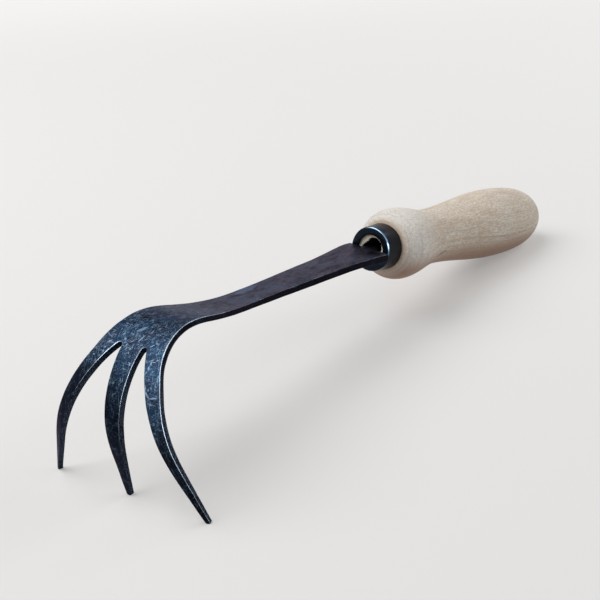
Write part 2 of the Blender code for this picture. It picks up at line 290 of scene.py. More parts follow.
def cut_blank():
    """The blank as one flat face, pushed down to a plate, with its long edges eased."""
    half = half_outline()
    whole = half + [(along, -across) for along, across in reversed(half)]
    bm = bmesh.new()
    bm.faces.new([bm.verts.new((-along, across, 0.0)) for along, across in whole])
    pushed = bmesh.ops.extrude_face_region(bm, geom=bm.faces[:])
    lower = [part for part in pushed["geom"] if isinstance(part, bmesh.types.BMVert)]
    bmesh.ops.translate(bm, verts=lower, vec=(0, 0, -PLATE_TAPER[0][1]))
    bmesh.ops.recalc_face_normals(bm, faces=bm.faces)
    bm.normal_update()
    rims = [edge for edge in bm.edges
            if sum(abs(face.normal.z) > 0.5 for face in edge.link_faces) == 1]
    bmesh.ops.bevel(bm, geom=rims, offset=ARRIS, affect="EDGES", segments=4, profile=0.5,
                    material=-1, clamp_overlap=True)
    return bm


def slice_across(bm, places, axis):
    """Cut the mesh by parallel planes, so that it can bend and be dented."""
    normal = Vector([1.0 if k == axis else 0.0 for k in range(3)])
    for at in places:
        bmesh.ops.bisect_plane(bm, geom=bm.verts[:] + bm.edges[:] + bm.faces[:],
                               dist=0.00001, plane_co=normal * at, plane_no=normal)


blank = cut_blank()
slice_across(blank, [-at for at in spread(CUT_START, TINE_END - CUT_STEP, CUT_STEP)], 0)
slice_across(blank, ACROSS_CUTS, 1)
slice_across(blank, DEPTH_CUTS, 2)
bmesh.ops.triangulate(blank, faces=[face for face in blank.faces if len(face.verts) > 4])
print("blank:", len(blank.verts), "points,", len(blank.faces), "faces")

# %% [markdown]
# ## Marks that stay with the steel
#
# While the blank is still flat, three things are written on it for the finish to read later.
# A map holds the distance along the bar and across it, so that marks stay with the metal when
# it bends. The attribute `arris` is strong on the eased edges and 0 on the flats, and that is
# where hands and soil rub the dark scale away; where an edge faces -Y it is raised further,
# which is a painted highlight from the lamps on that side. The attribute `flank` is 1 on the
# side faces.

# %% Flat map and arris
MAP_UNIT = 100.0 * MM
OUTER_BAND = 2.0 * MM
FULL_FACING = 0.6

# How far an arris is rubbed bare, and how much is added where it faces -Y as a painted highlight
OUTER_WEAR_AND_HIGHLIGHT = (0.60, 0.40)
SLOT_WEAR_AND_HIGHLIGHT = (0.32, 0.30)


def mark_blank(bm):
    """Write the flat map, the arris mask and the flank mask on the blank."""
    bm.normal_update()
    flat_map = bm.loops.layers.uv.new("flat_map")
    arris = bm.verts.layers.float.new("arris")
    flank = bm.verts.layers.float.new("flank")
    for vert in bm.verts:
        lean = math.acos(min(1.0, abs(vert.normal.z)))
        outer = abs(vert.co.y) > read_curve(EDGE_LINE, -vert.co.x) - OUTER_BAND
        # Painted highlight: arrises that face -Y, towards the lamps on the right, get more bare
        # steel
        facing = min(1.0, max(0.0, -vert.normal.y / FULL_FACING))
        least, more = OUTER_WEAR_AND_HIGHLIGHT if outer else SLOT_WEAR_AND_HIGHLIGHT
        vert[arris] = (least + more * facing) * max(0.0, 1.0 - abs(lean - 45 * DEG) / (45 * DEG))
        vert[flank] = ease((lean - 40 * DEG) / (30 * DEG))
    for face in bm.faces:
        for loop in face.loops:
            place = loop.vert.co
            side = 1.0 if place.y >= 0.0 else -1.0
            loop[flat_map].uv = (-place.x / MAP_UNIT, (place.y - side * place.z) / MAP_UNIT)


mark_blank(blank)
print("marked", sum(1 for vert in blank.verts
                    if vert[blank.verts.layers.float["arris"]] > 0.5), "points on the arris")

# %% [markdown]
# ## Hand work, taper and bends
#
# A hammered edge is never quite straight. A slow, a quick and a fine wobble, about a tenth of
# a millimetre deep at most, are enough to break up reflections as forging does. Then the
# blank is thinned to its taper and each point is carried round the bent path.

# %% Bend the head
PATH_STEP = 0.25 * MM
HAMMER_SEED = 7
TIP_REACH = 2.0 * MM
TIP_EASE = 1.9 * MM

# Wobbles that the hammer leaves: how close together, and how deep
HAMMER_WOBBLES = ((38.0, 0.13 * MM), (170.0, 0.06 * MM), (620.0, 0.018 * MM))


def strayed(place, closeness, depth):
    """How far a smooth random wave moves a point."""
    return noise.noise_vector(place * closeness) * depth


# Without a seed, Blender's noise vectors come out differently in each run
noise.seed_set(HAMMER_SEED)


def hand_work(place):
    """How far the hammer has moved a point of the flat blank."""
    free = ease((-place.x - 1.0 * MM) / (8.0 * MM))
    return sum((strayed(place, *wobble) for wobble in HAMMER_WOBBLES), Vector()) * free


def heading(along):
    """Slope of the bar's top face above the handle's axis."""
    return sum(turn * ease((along - start) / (end - start)) for start, end, turn in BENDS)


def walk_path():
    """Places of the bar's top face, one every small step from the shoulders on."""
    place = Vector((-SEAT_GAP, BAR_TOP))
    places = [place.copy()]
    for k in range(math.ceil(TINE_END / PATH_STEP) + 1):
        slope = heading((k + 0.5) * PATH_STEP)
        place += Vector((-math.cos(slope), math.sin(slope))) * PATH_STEP
        places.append(place.copy())
    return places


def turned(across, depth, pivot, turn):
    """A point of the section, turned about a pivot; a positive turn faces it to +Y."""
    off, rise = across - pivot[0], depth - pivot[1]
    return (pivot[0] + off * math.cos(turn) + rise * math.sin(turn),
            pivot[1] - off * math.sin(turn) + rise * math.cos(turn))


def worked_section(along, across, depth, flat_across):
    """Twist of the bar at its root, and turn and sway of the tines."""
    twist = ROOT_TWIST * (1.0 - ease((along - TWIST_START) / (TWIST_END - TWIST_START)))
    across, depth = turned(across, depth, (0.0, -BAR_TOP), twist)
    if along <= SLOT_ROOT:
        return across, depth
    if abs(flat_across) < SLOT_OFFSET:
        return across + MIDDLE_SWAY * math.sin(math.pi * tine_share(along)), depth
    side = math.copysign(1.0, flat_across)
    strip = (PALM_EDGE + SLOT_OFFSET + SLOT_WIDTH / 2.0) / 2.0
    centre = strip + (OUTER_TIP_OFFSET - strip) * tine_share(along)
    pivot = (side * centre, -read_curve(PLATE_TAPER, along) / 2.0)
    return turned(across, depth, pivot, side * read_curve(TINE_TURN, along))


def bend(bm):
    """Thin the blank to its taper, work each section and carry every point round the path."""
    places = walk_path()
    plate = PLATE_TAPER[0][1]
    for vert in bm.verts:
        flat = vert.co.copy()
        moved = flat + hand_work(flat)
        thinned = moved.z * read_curve(PLATE_TAPER, -flat.x) / plate
        along = -moved.x if flat.x < 0.0 else -flat.x
        across, depth = worked_section(along, moved.y, thinned, flat.y)
        slope = heading(max(along, 0.0))
        if along <= 0.0:
            top = places[0] - Vector((along, 0.0))
        else:
            k = min(int(along / PATH_STEP), len(places) - 2)
            top = places[k].lerp(places[k + 1], along / PATH_STEP - k)
        place = top + Vector((math.sin(slope), math.cos(slope))) * depth
        vert.co = (place.x, across, place.y)


def stand_on_tips(bm, marks):
    """Slide the last millimetre of each tine along itself, until its end is on the floor."""
    slope = heading(TINE_END)
    tip_way = LAID_DOWN.to_3x3() @ Vector((-math.cos(slope), 0.0, math.sin(slope)))
    ends = {}
    for vert, along in marks.items():
        if along > TINE_END - TIP_REACH:
            ends[vert] = ease((along - TINE_END + TIP_REACH) / TIP_EASE)
    for vert, share in ends.items():
        target = (TINE_END - marks[vert]) * -tip_way.z
        vert.co += tip_way * ((target - vert.co.z) / tip_way.z) * share


flat_places = {vert: -vert.co.x for vert in blank.verts}
bend(blank)
blank.transform(LAID_DOWN)
stand_on_tips(blank, flat_places)
print("head from", round(min(v.co.x for v in blank.verts) / MM, 1), "to",
      round(max(v.co.x for v in blank.verts) / MM, 1), "mm")

# %% [markdown]
# ## From worked mesh to piece
#
# Every finished piece is an object at the origin, with its place in its mesh. Round and eased
# surfaces are shaded smooth, and only edges sharper than the given angle stay crisp.

# %% Finish a piece


def finish_piece(name, bm, node, crisp_from):
    """Make the mesh a named piece that rides on the body and stands for a solid."""
    bm.normal_update()
    mesh = bpy.data.meshes.new(name)
    bm.to_mesh(mesh)
    bm.free()
    mesh.shade_smooth()
    mesh.set_sharp_from_angle(angle=crisp_from)
    piece = bpy.data.objects.new(name, mesh)
    bpy.context.scene.collection.objects.link(piece)
    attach(piece, "root")
    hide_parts(node)
    print(name, "has", sum(len(face.vertices) - 2 for face in mesh.polygons), "triangles")
    return piece


head = finish_piece("worked_head", blank, "forged_head", 50 * DEG)

# %% [markdown]
# ## The ferrule
#
# The ferrule is a short cup, pressed from sheet and blued. Its section is drawn once, as a
# lathe hand would read it, and spun about the handle's axis. The lip is a true round, because
# one crisp curved highlight on it tells the eye how it was made.

# %% Spin the ferrule
SPIN_STEPS = 144
MOUTH_EDGE = 0.25 * MM
SHEET_CHAMFER = 0.1 * MM
SHEET_WAVE = (210.0, 0.03 * MM)


def spin_section(section, closed):
    """Turn a section of (distance along the axis, radius) points about the handle's axis."""
    bm = bmesh.new()
    corners = [bm.verts.new((along, 0.0, radius)) for along, radius in section]
    edges = [bm.edges.new(pair) for pair in zip(corners, corners[1:])]
    if closed:
        edges.append(bm.edges.new((corners[-1], corners[0])))
    bmesh.ops.spin(bm, geom=corners + edges, cent=(0, 0, 0), axis=(1, 0, 0),
                   angle=2.0 * math.pi, steps=SPIN_STEPS, use_merge=True)
    bmesh.ops.remove_doubles(bm, verts=bm.verts, dist=0.000002)
    bmesh.ops.recalc_face_normals(bm, faces=bm.faces)
    return bm


def ferrule_section():
    """Section of the cup: dished face with a mouth, rounded lip, wall and open rear."""
    front = FERRULE_RADIUS - FERRULE_TAPER
    inside = FERRULE_RADIUS - FERRULE_WALL
    lip = arc((LIP_ROUND, front - LIP_ROUND), LIP_ROUND, 180 * DEG, 90 * DEG, 12)
    rear = arc((FERRULE_LENGTH - REAR_ROUND, FERRULE_RADIUS - REAR_ROUND), REAR_ROUND,
               90 * DEG, 0.0, 6)
    mouth_edge = arc((FERRULE_DISH + MOUTH_EDGE, MOUTH_RADIUS + MOUTH_EDGE), MOUTH_EDGE,
                     -90 * DEG, -180 * DEG, 5)
    return mouth_edge + lip + rear + [
        (FERRULE_LENGTH, inside + SHEET_CHAMFER),
        (FERRULE_LENGTH - SHEET_CHAMFER, inside),
        (FERRULE_DISH + FERRULE_FACE, inside),
        (FERRULE_DISH + FERRULE_FACE, MOUTH_RADIUS),
    ]


cup = spin_section(ferrule_section(), closed=True)
for vert in cup.verts:
    vert.co += strayed(vert.co, *SHEET_WAVE)
cup.transform(LAID_DOWN)
ferrule = finish_piece("blued_ferrule", cup, "ferrule", 40 * DEG)

# %% [markdown]
# ## The handle
#
# The grip is turned between centres: a full shoulder behind the ferrule, a waist for the
# thumb and finger, a belly for the palm and a rounded end. A spigot goes into the ferrule,
# and a tapered hole takes the tang. A lathe leaves the wood round, so a spin is the right
# tool again.

# %% Turn the handle
SPIGOT_CHAMFER = 0.5 * MM
HOLE_STATIONS = (40 * MM, 12 * MM, 6 * MM, 3 * MM)
WOOD_WAVE = (26.0, 0.12 * MM)

# The hole's mouth is broken out here: middle of the bite, half its spread, how far it moves in
HOLE_BITE = (48 * DEG, 50 * DEG, 1.25 * MM)
HOLE_FLARE = (140 * DEG, 55 * DEG, -0.55 * MM)
TORN_CLOSENESS = 700.0
TORN_DEPTH = 0.30 * MM
MOUTH_DEPTH = 4 * MM
MOUTH_REACH = (1 * MM, 6 * MM)


def wood_radius(along):
    """Radius of the grip from the shoulder to the belly."""
    shoulder_at = FERRULE_LENGTH + SEAT_GAP + SHOULDER_RUN
    if along < shoulder_at:
        lead = (shoulder_at - along) / SHOULDER_RUN
        return SHOULDER_SEAT + (SHOULDER_RADIUS - SHOULDER_SEAT) * math.sqrt(1.0 - lead ** 2)
    if along < WAIST_AT:
        fall = ease((along - shoulder_at) / (WAIST_AT - shoulder_at))
        return SHOULDER_RADIUS + (WAIST_RADIUS - SHOULDER_RADIUS) * fall
    swell = ease((along - WAIST_AT) / (BELLY_AT - WAIST_AT))
    return WAIST_RADIUS + (BELLY_RADIUS - WAIST_RADIUS) * swell


def grip_section():
    """Outer line of the wood behind the ferrule, ending on the axis."""
    shoulder_at = FERRULE_LENGTH + SEAT_GAP + SHOULDER_RUN
    shoulder = []
    for turn in spread(0.0, 90 * DEG, 4 * DEG):
        at = shoulder_at - SHOULDER_RUN * math.cos(turn)
        shoulder.append((at, wood_radius(at)))
    flanks = [(at, wood_radius(at)) for at in spread(shoulder_at, BELLY_AT, 1.5 * MM)]
    end = []
    for turn in spread(0.0, 90 * DEG, 2 * DEG):
        share = math.sin(turn) ** (2.0 / END_FULLNESS)
        radius = BELLY_RADIUS * max(math.cos(turn), 0.0) ** (2.0 / END_FULLNESS)
        end.append((BELLY_AT + (HANDLE_LENGTH - BELLY_AT) * share, radius))
    end[-1] = (HANDLE_LENGTH, 0.0)
    return shoulder + flanks[1:] + end[1:]


def handle_section():
    """The whole section: the tang's hole, the spigot's face, the spigot and the grip."""
    face_at = FERRULE_DISH + FERRULE_FACE + SEAT_GAP
    spigot = FERRULE_RADIUS - FERRULE_WALL - SEAT_GAP
    depth = PLATE_TAPER[0][1] - BAR_TOP
    mouth = math.hypot(tang_half_width(face_at), depth) + TANG_FIT
    end = math.hypot(tang_half_width(TANG_LENGTH), depth) + TANG_FIT
    hole_end = TANG_LENGTH + TANG_FIT
    hole = [(at, end + (mouth - end) * (hole_end - at) / (hole_end - face_at))
            for at in (hole_end, *HOLE_STATIONS, face_at + SPIGOT_CHAMFER)]
    return ([(hole_end, 0.0)] + hole
            + arc((face_at + MOUTH_EDGE, mouth + MOUTH_EDGE), MOUTH_EDGE,
                  -90 * DEG, -180 * DEG, 4)
            + [(face_at, (mouth + spigot) / 2.0), (face_at, spigot - SPIGOT_CHAMFER),
               (face_at + SPIGOT_CHAMFER, spigot), (FERRULE_LENGTH + SEAT_GAP, spigot)]
            + grip_section())


def hole_edge(place):
    """How far the drilled and burned edge of the hole strays from a true circle."""
    facing = math.atan2(place.z, place.y)
    bite, flare = (ease(1.0 - abs(facing - middle) / spread_out)
                   for middle, spread_out, _ in (HOLE_BITE, HOLE_FLARE))
    torn = noise.noise(place * TORN_CLOSENESS) * TORN_DEPTH * (0.3 + bite)
    return torn - HOLE_BITE[2] * bite - HOLE_FLARE[2] * flare


turning = spin_section(handle_section(), closed=False)
for vert in turning.verts:
    off_axis = math.hypot(vert.co.y, vert.co.z)
    if vert.co.x > FERRULE_LENGTH + SHOULDER_RUN / 4 and off_axis > MOUTH_REACH[1]:
        vert.co += strayed(vert.co, *WOOD_WAVE)
    elif vert.co.x < MOUTH_DEPTH and MOUTH_REACH[0] < off_axis < MOUTH_REACH[1]:
        grown = 1.0 + hole_edge(vert.co) / off_axis
        vert.co = (vert.co.x, vert.co.y * grown, vert.co.z * grown)
turning.transform(LAID_DOWN)
handle = finish_piece("ash_handle", turning, "handle", 40 * DEG)

# %% [markdown]
# ## Small tools for building finishes
#
# A finish is a chain of shader nodes. Each helper makes one node, or a few of one kind, and
# returns its output, so that a finish reads like a recipe. A socket knows which tree it is in,
# so the helpers find the tree by themselves. `put` links a socket if it is given one, and
# otherwise sets a plain value. `lay` is used most: it lays a colour over the colour so far, as
# thinly as its masks say.

# %% Node helpers


def put(socket, value):
    """Feed a socket from another socket, or set it."""
    if isinstance(value, bpy.types.NodeSocket):
        socket.id_data.links.new(value, socket)
    elif value is not None:
        socket.default_value = value


def set_by_name(made, values):
    """Feed the inputs of a node by their names."""
    for name, value in values.items():
        put(made.inputs[name], value)


def new_node(kind, *values):
    """A node in the tree that the first socket among the values is in."""
    tree = next(v.id_data for v in values if isinstance(v, bpy.types.NodeSocket))
    return tree.nodes.new("ShaderNode" + kind)


def maths(operation, first, second=None, clamp=False):
    """One Math node."""
    made = new_node("Math", first, second)
    made.operation = operation
    made.use_clamp = clamp
    put(made.inputs[0], first)
    put(made.inputs[1], second)
    return made.outputs[0]


def times(made, *factors):
    """Product of two or more values."""
    for factor in factors:
        made = maths("MULTIPLY", made, factor)
    return made


def plus(first, second, clamp=False):
    return maths("ADD", first, second, clamp)


def minus(first, second):
    return maths("SUBTRACT", first, second)


def between(operation, first, second, output="Vector"):
    """One Vector Math node of two vectors."""
    made = new_node("VectorMath", first, second)
    made.operation = operation
    put(made.inputs[0], first)
    put(made.inputs[1], second)
    return made.outputs[output]


def scaled(vector, factors):
    """Stretch or squeeze coordinates."""
    return between("MULTIPLY", vector, factors)


def shifted(vector, offset):
    """Move coordinates by an offset or by another vector."""
    return between("ADD", vector, offset)


def strayed_by(vector, pattern, reach):
    """Let coordinates stray to all sides by a pattern of three values."""
    centred = shifted(pattern, (-0.5, -0.5, -0.5))
    return shifted(vector, scaled(centred, reach))


def distance(first, second=(0.0, 0.0, 0.0)):
    return between("DISTANCE", first, second, "Value")


def parts_of(vector):
    """The X, Y and Z of a vector."""
    made = new_node("SeparateXYZ", vector)
    put(made.inputs[0], vector)
    return made.outputs["X"], made.outputs["Y"], made.outputs["Z"]


def joined(across, up):
    """A vector of two values."""
    made = new_node("CombineXYZ", across)
    set_by_name(made, {"X": across, "Y": up})
    return made.outputs["Vector"]


def object_place(tree):
    return tree.nodes.new("ShaderNodeTexCoord").outputs["Object"]


def read_mask(tree, name):
    """A mask that was written on the mesh's points."""
    made = tree.nodes.new("ShaderNodeAttribute")
    made.attribute_name = name
    return made.outputs["Fac"]


def clouds(vector, scale, detail=3.0, roughness=0.55, distortion=0.0, colour=False):
    """Soft noise, as a value or as three values in a colour."""
    made = new_node("TexNoise", vector)
    set_by_name(made, {"Vector": vector, "Scale": scale, "Detail": detail,
                       "Roughness": roughness, "Distortion": distortion})
    return made.outputs["Color" if colour else "Fac"]


def cells(vector, scale, feature="F1"):
    """Distance in a cell pattern."""
    made = new_node("TexVoronoi", vector)
    made.feature = feature
    set_by_name(made, {"Vector": vector, "Scale": scale})
    return made.outputs["Distance"]


def step_up(value, low, high, to_low=0.0, to_high=1.0):
    """Map a value from low to high on to another range, with soft ends."""
    made = new_node("MapRange", value)
    made.interpolation_type = "SMOOTHSTEP"
    set_by_name(made, {"Value": value, "From Min": low, "From Max": high,
                       "To Min": to_low, "To Max": to_high})
    return made.outputs["Result"]


def mix_colour(share, first, second):
    """One colour mixed into another."""
    made = new_node("Mix", share)
    made.data_type = "RGBA"
    put(made.inputs["Factor"], share)
    for name, colour in (("A", first), ("B", second)):
        put(made.inputs[name], (*colour, 1.0) if isinstance(colour, tuple) else colour)
    return made.outputs["Result"]


def lay(tone, colour, *shares):
    """Lay a colour over a tone, as far as the masks and shares allow together."""
    return mix_colour(times(*shares), tone, colour)


def embossed(height, strength, depth):
    """The normal of a fine relief."""
    made = new_node("Bump", height)
    set_by_name(made, {"Strength": strength, "Distance": depth, "Height": height})
    return made.outputs["Normal"]


def new_group(name, inputs, outputs):
    """An empty shader group with named sockets, and its two end nodes."""
    tree = bpy.data.node_groups.new(name, "ShaderNodeTree")
    for way, sockets in (("INPUT", inputs), ("OUTPUT", outputs)):
        for title, kind in sockets.items():
            tree.interface.new_socket(title, in_out=way, socket_type=kind)
    return tree, tree.nodes.new("NodeGroupInput").outputs, tree.nodes.new("NodeGroupOutput")


def use_group(group, values):
    """Place a group and feed its inputs."""
    made = new_node("Group", *values.values())
    made.node_tree = group
    set_by_name(made, values)
    return made.outputs


def new_material(name):
    """A material with its Principled shader."""
    made = bpy.data.materials.new(name)
    made.use_nodes = True
    return made, made.node_tree, made.node_tree.nodes["Principled BSDF"]


FLOAT, COLOUR, VECTOR = "NodeSocketFloat", "NodeSocketColor", "NodeSocketVector"
print("helpers ready")

# %% [markdown]
# ## Effects that more than one finish uses
#
# A hairline is a contour of noise that has been stretched one way: it is long, thin and
# gently curved, as a scratch from grit is. A second noise keeps it only here and there. A
# stroke is one mark at a chosen place, thick in the middle and thin at its ends. A worn edge
# starts from the arris mask and is eaten into by noise, because nothing rubs evenly.

# %% Hairlines, strokes and worn edges
KEEP_SHIFT = (31.0, 17.0, 5.0)
KEEP_SCALE = 0.42


def build_hairlines():
    """Long fine scratches that run one way, on a map in mm, kept in places."""
    tree, given, out = new_group(
        "hairlines",
        {"Vector": VECTOR, "Way": FLOAT, "Length": FLOAT, "Spacing": FLOAT, "Width": FLOAT,
         "Amount": FLOAT},
        {"Mask": FLOAT})
    turn = new_node("VectorRotate", given["Vector"])
    turn.rotation_type = "Z_AXIS"
    set_by_name(turn, {"Vector": given["Vector"], "Angle": given["Way"]})
    turned_map = turn.outputs["Vector"]
    stretch = joined(maths("DIVIDE", 1.0, given["Length"]), maths("DIVIDE", 1.0, given["Spacing"]))
    field = clouds(scaled(turned_map, stretch), 1.0, 1.0, 0.35, 0.25)
    off_line = maths("ABSOLUTE", minus(field, 0.5))
    line = step_up(off_line, 0.0, given["Width"], 1.0, 0.0)
    keep_noise = clouds(shifted(turned_map, KEEP_SHIFT), KEEP_SCALE)
    level = minus(0.72, times(given["Amount"], 0.4))
    keep = step_up(keep_noise, level, plus(level, 0.08))
    put(out.inputs["Mask"], times(line, keep))
    return tree


def build_stroke():
    """One tapered mark from a start to an end."""
    tree, given, out = new_group(
        "stroke", {"Vector": VECTOR, "Start": VECTOR, "End": VECTOR, "Width": FLOAT},
        {"Mask": FLOAT})
    run = between("SUBTRACT", given["End"], given["Start"])
    reach = between("SUBTRACT", given["Vector"], given["Start"])
    share = maths("DIVIDE", between("DOT_PRODUCT", reach, run, "Value"),
                  between("DOT_PRODUCT", run, run, "Value"), clamp=True)
    nearest = new_node("VectorMath", run)
    nearest.operation = "SCALE"
    put(nearest.inputs[0], run)
    put(nearest.inputs["Scale"], share)
    away = distance(reach, nearest.outputs["Vector"])
    taper = times(share, 4.0, minus(1.0, share))
    wide = times(given["Width"], plus(taper, 0.25))
    ratio = maths("DIVIDE", away, wide)
    put(out.inputs["Mask"], step_up(ratio, 0.5, 1.3, 1.0, 0.0))
    return tree


def build_worn_edge():
    """Arris mask eaten into by noise."""
    tree, given, out = new_group(
        "worn_edge", {"Vector": VECTOR, "Arris": FLOAT, "Amount": FLOAT}, {"Mask": FLOAT})
    slow = clouds(given["Vector"], 90.0)
    quick = clouds(given["Vector"], 900.0, 4.0, 0.65)
    eaten = plus(times(slow, 0.55), times(quick, 0.45))
    reach = plus(given["Arris"], times(minus(eaten, 0.5), 1.5))
    level = minus(1.15, times(given["Amount"], 0.8))
    rubbed = step_up(reach, level, plus(level, 0.35))
    edge_only = step_up(given["Arris"], 0.02, 0.22)
    put(out.inputs["Mask"], times(rubbed, edge_only))
    return tree


hairlines_group = build_hairlines()
stroke_group = build_stroke()
worn_group = build_worn_edge()
print("groups:", hairlines_group.name, stroke_group.name, worn_group.name)

# %% [markdown]
# ## Forged steel
#
# The head keeps the blue-grey scale of the fire. It is mottled where the scale is thick or
# thin, purple-grey and smoother on the shank, and nearly black on the lower tines and on the
# sides: partly scale that was never rubbed there, partly painted shade. Grit has drawn fine
# bright hairlines over the palm, and the scale has cracked into small plates. A blue highlight
# on the shank, shade on the lower palm and glints on the sides are painted into the colour.
# The tone is dark, so what the eye reads is mostly the soft light mirrored in it.

# %% Tones of the scale
SCALE_DARK = (0.002, 0.006, 0.014)
SCALE_BLUE = (0.006, 0.022, 0.052)
SCALE_PALE = (0.013, 0.043, 0.088)
SHANK_DARK = (0.012, 0.008, 0.010)
SHANK_PALE = (0.094, 0.074, 0.092)
SHANK_BLUE = (0.090, 0.120, 0.170)
# A painted highlight: the blue glint on the shank's far edge
PAINTED_SHANK_HIGHLIGHT = (0.110, 0.180, 0.280)
# Nearly black for the lower tines and the sides: partly their scale, partly painted shade
LOWER_OXIDE_AND_SHADE = (0.003, 0.003, 0.005)
FLANK_SCALE_AND_SHADE = (0.002, 0.002, 0.003)
SPECK_TONE = (0.044, 0.072, 0.112)
SCRATCH_TONE = (0.20, 0.29, 0.39)
BARE_STEEL = (0.60, 0.72, 0.84)
GLANCING_TINT = (0.62, 0.60, 0.68, 1.0)

# Patterns of the scale: where it starts and is full, then the noise's scale, detail,
# roughness and distortion
SCALE_PATTERNS = {
    "drawn": (0.36, 0.66, 260.0, 5.0, 0.62, 1.2),
    "mottle": (0.36, 0.66, 95.0, 5.0, 0.62, 1.4),
    "patch": (0.34, 0.66, 300.0, 5.0, 0.66, 0.9),
    "specks": (0.57, 0.66, 1700.0, 3.0, 0.7),
    "pits": (0.58, 0.70, 900.0, 3.0, 0.65),
    "frost": (0.48, 0.64, 2900.0, 2.0, 0.6),
}

# Layers of the palm's colour in turn: pattern, share, colour
PALM_LAYERS = (
    ("mottle", 0.50, SCALE_PALE), ("frost", 0.45, SPECK_TONE), ("plates", 0.24, SPECK_TONE),
)

# Changes along the flat blank: from and to in mm, value before and value after
SHANK_BLUING = (50.0, 76.0, 0.25, 0.75)
SHANK_SHARE = (100.0, 136.0, 0.95, 0.0)
GRIT_SHARE = (92.0, 128.0, 0.12, 0.85)
LOWER_SHARE = (156.0, 175.0)
SHADED_SHARE = (138.0, 156.0, 0.0, 0.40)
PAINTED_GLINT_SHARE = (146.0, 168.0, 0.0, 0.85)
WEAR_AMOUNT = (98.0, 124.0, 0.42, 1.40)
WEAR_FADE = (152.0, 202.0, 1.0, 0.42)
POLISH_FADE = (152.0, 188.0, 1.0, 0.30)

# Changes across it, from the near side at -Y to the far side
SHADED_ACROSS = (-12.0, -5.0)
POLISH_NEAR = (-20.0, -9.0, 1.0, 0.62)
POLISH_FAR = (2.0, 12.0, 0.0, 0.38)
LOWER_LEAN = 0.42
WEAR_LEAN = 0.8

# Each way that grit has run over the palm: angle, length, spacing and width in mm, amount
GRIT_WAYS = (
    (0.35, 11.0, 1.20, 0.022, 0.66),
    (-0.90, 10.0, 1.15, 0.021, 0.60),
    (1.50, 11.0, 1.25, 0.020, 0.58),
    (-0.15, 4.0, 0.85, 0.022, 0.50),
)

# Marks of use at their places on the flat blank, in mm: start, end, width, strength
PALM_STROKES = (
    ((141.4, 2.6), (138.2, -0.4), 0.30, 0.9),
    ((141.9, 1.9), (139.4, -0.2), 0.16, 0.8),
    ((145.6, -1.3), (142.4, -2.2), 0.28, 0.7),
    ((161.2, -13.8), (163.3, -16.3), 0.22, 0.9),
    ((163.3, -16.3), (162.4, -19.2), 0.24, 0.8),
    ((86.4, -6.9), (85.6, -5.4), 0.30, 0.6),
    ((24.6, -9.3), (23.4, -9.4), 0.30, 0.7),
    # These two, at the bar's corner by the ferrule, are nicks that also carry a painted sparkle
    ((0.9, -5.6), (0.8, -8.9), 0.26, 0.9),
    ((1.0, -9.2), (4.4, -9.0), 0.30, 0.9),
)

# A painted blue highlight and blots of thick dark scale on the blank, in mm: start, end, width,
# strength
SHANK_HIGHLIGHT_STROKE = ((72.0, 5.8), (86.0, 4.6), 1.7, 0.55)
SCALE_BLOTS = (
    ((131.8, 6.4), (135.8, 3.2), 1.5, 0.80),
    ((136.6, 8.6), (139.4, 6.0), 0.9, 0.55),
    ((136.4, -6.0), (139.0, -8.4), 0.9, 0.55),
    ((133.2, -0.8), (135.4, -3.6), 0.8, 0.50),
    ((166.0, -3.0), (170.5, 1.2), 1.2, 0.50),
    ((176.0, -22.5), (179.5, -24.5), 1.0, 0.60),
)
BLOT_WAVER = 2.4

# %% Patterns and marks of the scale


def forged_patterns(space):
    """The patterns that the scale is made of, by their names."""
    warp = clouds(space, 340.0, colour=True)
    warped = shifted(space, scaled(warp, (0.0016, 0.0016, 0.0016)))
    crack = cells(warped, 430.0, feature="DISTANCE_TO_EDGE")
    places = {"drawn": scaled(space, (0.35, 1.0, 1.0)), "pits": shifted(space, (0.4, 0.1, 0.2))}
    patterns = {name: step_up(clouds(places.get(name, space), *values), low, high)
                for name, (low, high, *values) in SCALE_PATTERNS.items()}
    patterns["warp"] = warp
    patterns["grain"] = clouds(space, 3800.0, 2.0, 0.6)
    patterns["plates"] = step_up(crack, 0.01, 0.09, 1.0, 0.0)
    return patterns


def flat_stroke(flat, start, end, width, strength):
    """One mark at its place on the flat map."""
    mask = use_group(stroke_group, {"Vector": flat, "Start": (*start, 0.0),
                                    "End": (*end, 0.0), "Width": width})["Mask"]
    return times(mask, strength)


def forged_scratches(flat, along, lower, flank):
    """Hairlines over the palm, and the strokes at their own places."""
    hair = 0.0
    for way, length, spacing, width, amount in GRIT_WAYS:
        line = use_group(hairlines_group,
                         {"Vector": flat, "Way": way, "Length": length, "Spacing": spacing,
                          "Width": width, "Amount": amount})["Mask"]
        hair = maths("MAXIMUM", line, hair)
    marks = times(hair, step_up(along, *GRIT_SHARE),
                  step_up(lower, 0.0, 1.0, 1.0, 0.25),
                  step_up(flank, 0.0, 1.0, 1.0, 0.12))
    for stroke in PALM_STROKES:
        marks = maths("MAXIMUM", marks, flat_stroke(flat, *stroke))
    return marks


# %% Colour of the scale


def forged_tone(along, lower, flank, patterns):
    """Colour of the scale before wear: palm, shank, and lower tines and sides, partly painted
    shade.
    """
    mottle = patterns["mottle"]
    tone = mix_colour(patterns["patch"], SCALE_DARK, SCALE_BLUE)
    for pattern, share, colour in PALM_LAYERS:
        tone = lay(tone, colour, patterns[pattern], share)
    shank_tone = mix_colour(patterns["drawn"], SHANK_DARK, SHANK_PALE)
    shank_tone = lay(shank_tone, SHANK_BLUE, mottle, step_up(along, *SHANK_BLUING))
    ragged = plus(step_up(along, *SHANK_SHARE), step_up(mottle, 0.0, 1.0, 0.12, -0.22), clamp=True)
    tone = lay(tone, shank_tone, ragged)
    # Lower tines and sides darkened: partly unrubbed scale, partly painted shade
    tone = lay(tone, LOWER_OXIDE_AND_SHADE, lower, 0.95)
    tone = lay(tone, FLANK_SCALE_AND_SHADE, flank, 0.95)
    speck_share = step_up(maths("MAXIMUM", lower, flank), 0.0, 1.0, 0.38, 0.10)
    return lay(tone, SPECK_TONE, patterns["specks"], speck_share)


